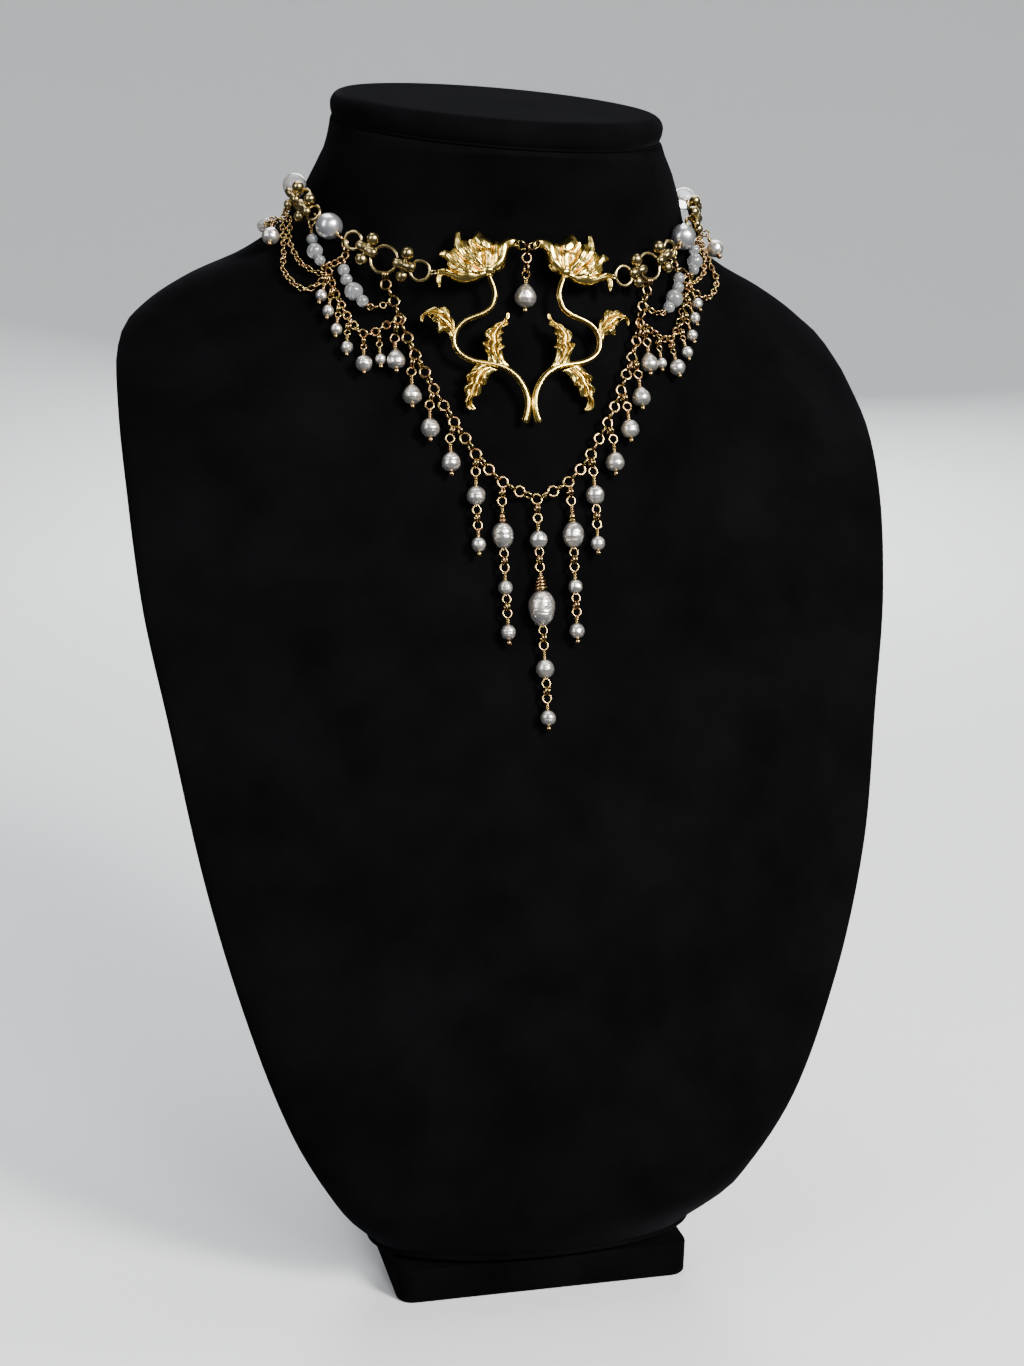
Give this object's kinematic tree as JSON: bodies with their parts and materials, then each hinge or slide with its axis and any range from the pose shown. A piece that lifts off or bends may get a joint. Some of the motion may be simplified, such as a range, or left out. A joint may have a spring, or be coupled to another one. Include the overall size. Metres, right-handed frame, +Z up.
{
  "type": "choker on neck bust",
  "caption": "Draped choker of brass flower stampings, ring links, chain and pearl drops, worn by a velvet neck bust that stands on a flat foot.",
  "frame": {"origin": "centre of the foot's underside, on the surface that the bust stands on", "axes": "+Z up, -Y the way the bust faces, +X to the right of someone facing it"},
  "size_m": [0.236, 0.1652, 0.3555],
  "materials": {
    "black_velvet": "short black velvet pile",
    "gilt_brass": "polished gilt with dark recesses",
    "antique_brass": "antiqued satin brass",
    "glass_pearl": "glossy white imitation pearl",
    "freshwater_pearl": "lustrous cream nacre with growth rings"
  },
  "bodies": {
    "root": {"back_chain_left": "gilt_brass", "back_chain_right": "gilt_brass", "band_rear_left": "antique_brass", "band_rear_right": "antique_brass", "bar_front_left": "antique_brass", "bar_front_right": "antique_brass", "bar_rear_left": "antique_brass", "bar_rear_right": "antique_brass", "bust_body": "black_velvet", "bust_foot": "black_velvet", "bust_neck_cap": "black_velvet", "centre_links": "gilt_brass", "centre_pearl": "freshwater_pearl", "clasp": "gilt_brass", "drop_1_left": "freshwater_pearl", "drop_1_right": "freshwater_pearl", "drop_2_left": "freshwater_pearl", "drop_2_right": "freshwater_pearl", "drop_3_left": "freshwater_pearl", "drop_3_right": "freshwater_pearl", "drop_4_left": "freshwater_pearl", "drop_4_right": "freshwater_pearl", "drop_5_left": "freshwater_pearl", "drop_5_right": "freshwater_pearl", "drop_6_left": "freshwater_pearl", "drop_6_right": "freshwater_pearl", "drop_centre": "freshwater_pearl", "drop_side_left": "freshwater_pearl", "drop_side_right": "freshwater_pearl", "festoon_left": "freshwater_pearl", "festoon_right": "freshwater_pearl", "flower_left": "gilt_brass", "flower_right": "gilt_brass", "main_chain_lower_left": "gilt_brass", "main_chain_lower_right": "gilt_brass", "main_chain_upper_left": "gilt_brass", "main_chain_upper_right": "gilt_brass", "pearl_big_left": "glass_pearl", "pearl_big_right": "glass_pearl", "pearl_rear_left": "glass_pearl", "pearl_rear_right": "glass_pearl", "ring_front_left": "antique_brass", "ring_front_right": "antique_brass", "ring_large_left": "antique_brass", "ring_large_right": "antique_brass", "ring_rear_left": "antique_brass", "ring_rear_right": "antique_brass", "strand_front_left": "glass_pearl", "strand_front_right": "glass_pearl", "strand_rear_left": "glass_pearl", "strand_rear_right": "glass_pearl", "thin_chains_left": "gilt_brass", "thin_chains_right": "gilt_brass"}
  },
  "joints": []
}
